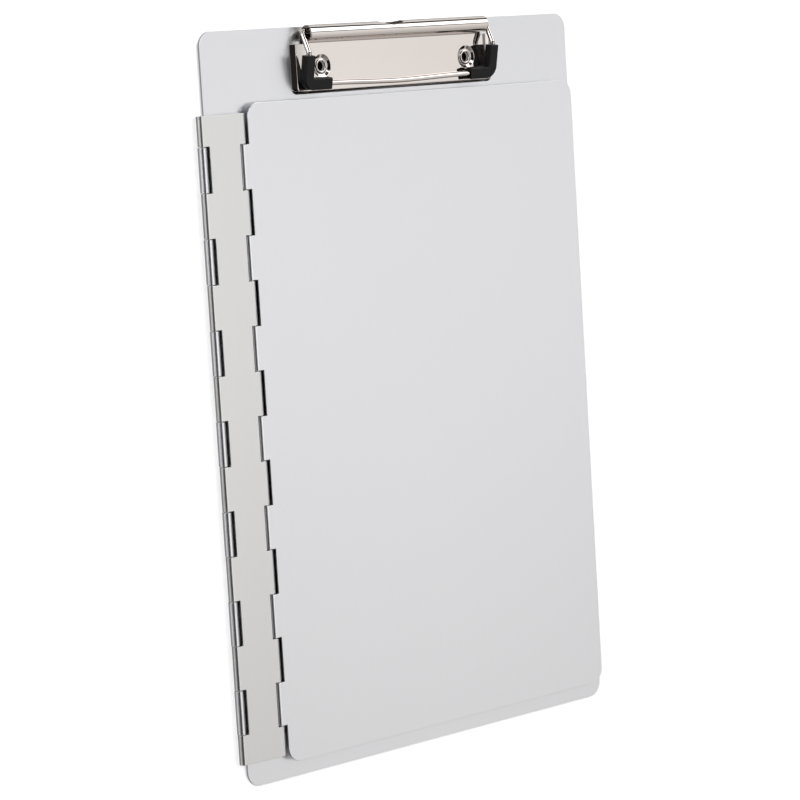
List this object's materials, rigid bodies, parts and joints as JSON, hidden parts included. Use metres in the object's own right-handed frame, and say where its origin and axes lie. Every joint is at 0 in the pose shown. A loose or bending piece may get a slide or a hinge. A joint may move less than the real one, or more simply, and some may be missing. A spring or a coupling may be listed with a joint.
{
  "type": "clipboard",
  "caption": "Sheet-metal clipboard with a fold-over front cover on piano hinges and a sprung wire bail clip that holds paper at the top edge.",
  "frame": {"origin": "bottom centre of the closed clipboard's box, lying on its back", "axes": "+X to the clipboard's right, away from the hinges; +Y along its length, towards the clip; +Z out of the front cover"},
  "size_m": [0.235, 0.3405, 0.0101],
  "materials": {
    "board_aluminium": "satin, faint grain along the sheet",
    "spine_aluminium": "satin, faint grain along the strip",
    "cover_aluminium": "satin, faint grain along the sheet",
    "outer_pin_steel": "drawn wire",
    "inner_pin_steel": "drawn wire",
    "plate_nickel": "bright plated",
    "bail_nickel": "bright plated",
    "left_cap_rubber": "soft satin black",
    "right_cap_rubber": "soft satin black",
    "left_eyelet_nickel": "bright plated",
    "right_eyelet_nickel": "bright plated"
  },
  "bodies": {
    "board": {"back_board": "board_aluminium", "outer_hinge_pin": "outer_pin_steel", "clip_base_plate": "plate_nickel", "left_eyelet": "left_eyelet_nickel", "right_eyelet": "right_eyelet_nickel"},
    "spine": {"spine_strip": "spine_aluminium", "inner_hinge_pin": "inner_pin_steel"},
    "cover": {"front_cover": "cover_aluminium"},
    "bail": {"wire_bail": "bail_nickel", "left_corner_cap": "left_cap_rubber", "right_corner_cap": "right_cap_rubber"}
  },
  "joints": [
    {"name": "spine_hinge", "type": "hinge", "parent": "board", "child": "spine", "pos_m": [-0.11547, 0, 0.00205], "axis": [0, -1, 0], "range_deg": [0, 270]},
    {"name": "cover_hinge", "type": "hinge", "parent": "spine", "child": "cover", "pos_m": [-0.09348, 0, 0.00315], "axis": [0, -1, 0], "range_deg": [0, 90]},
    {"name": "bail_hinge", "type": "hinge", "parent": "board", "child": "bail", "pos_m": [0.00252, 0.1678, 0.004], "axis": [-1, 0, 0], "range_deg": [0, 70], "stiffness_Nm_per_rad": 0.3, "springref_deg": -45.84}
  ]
}
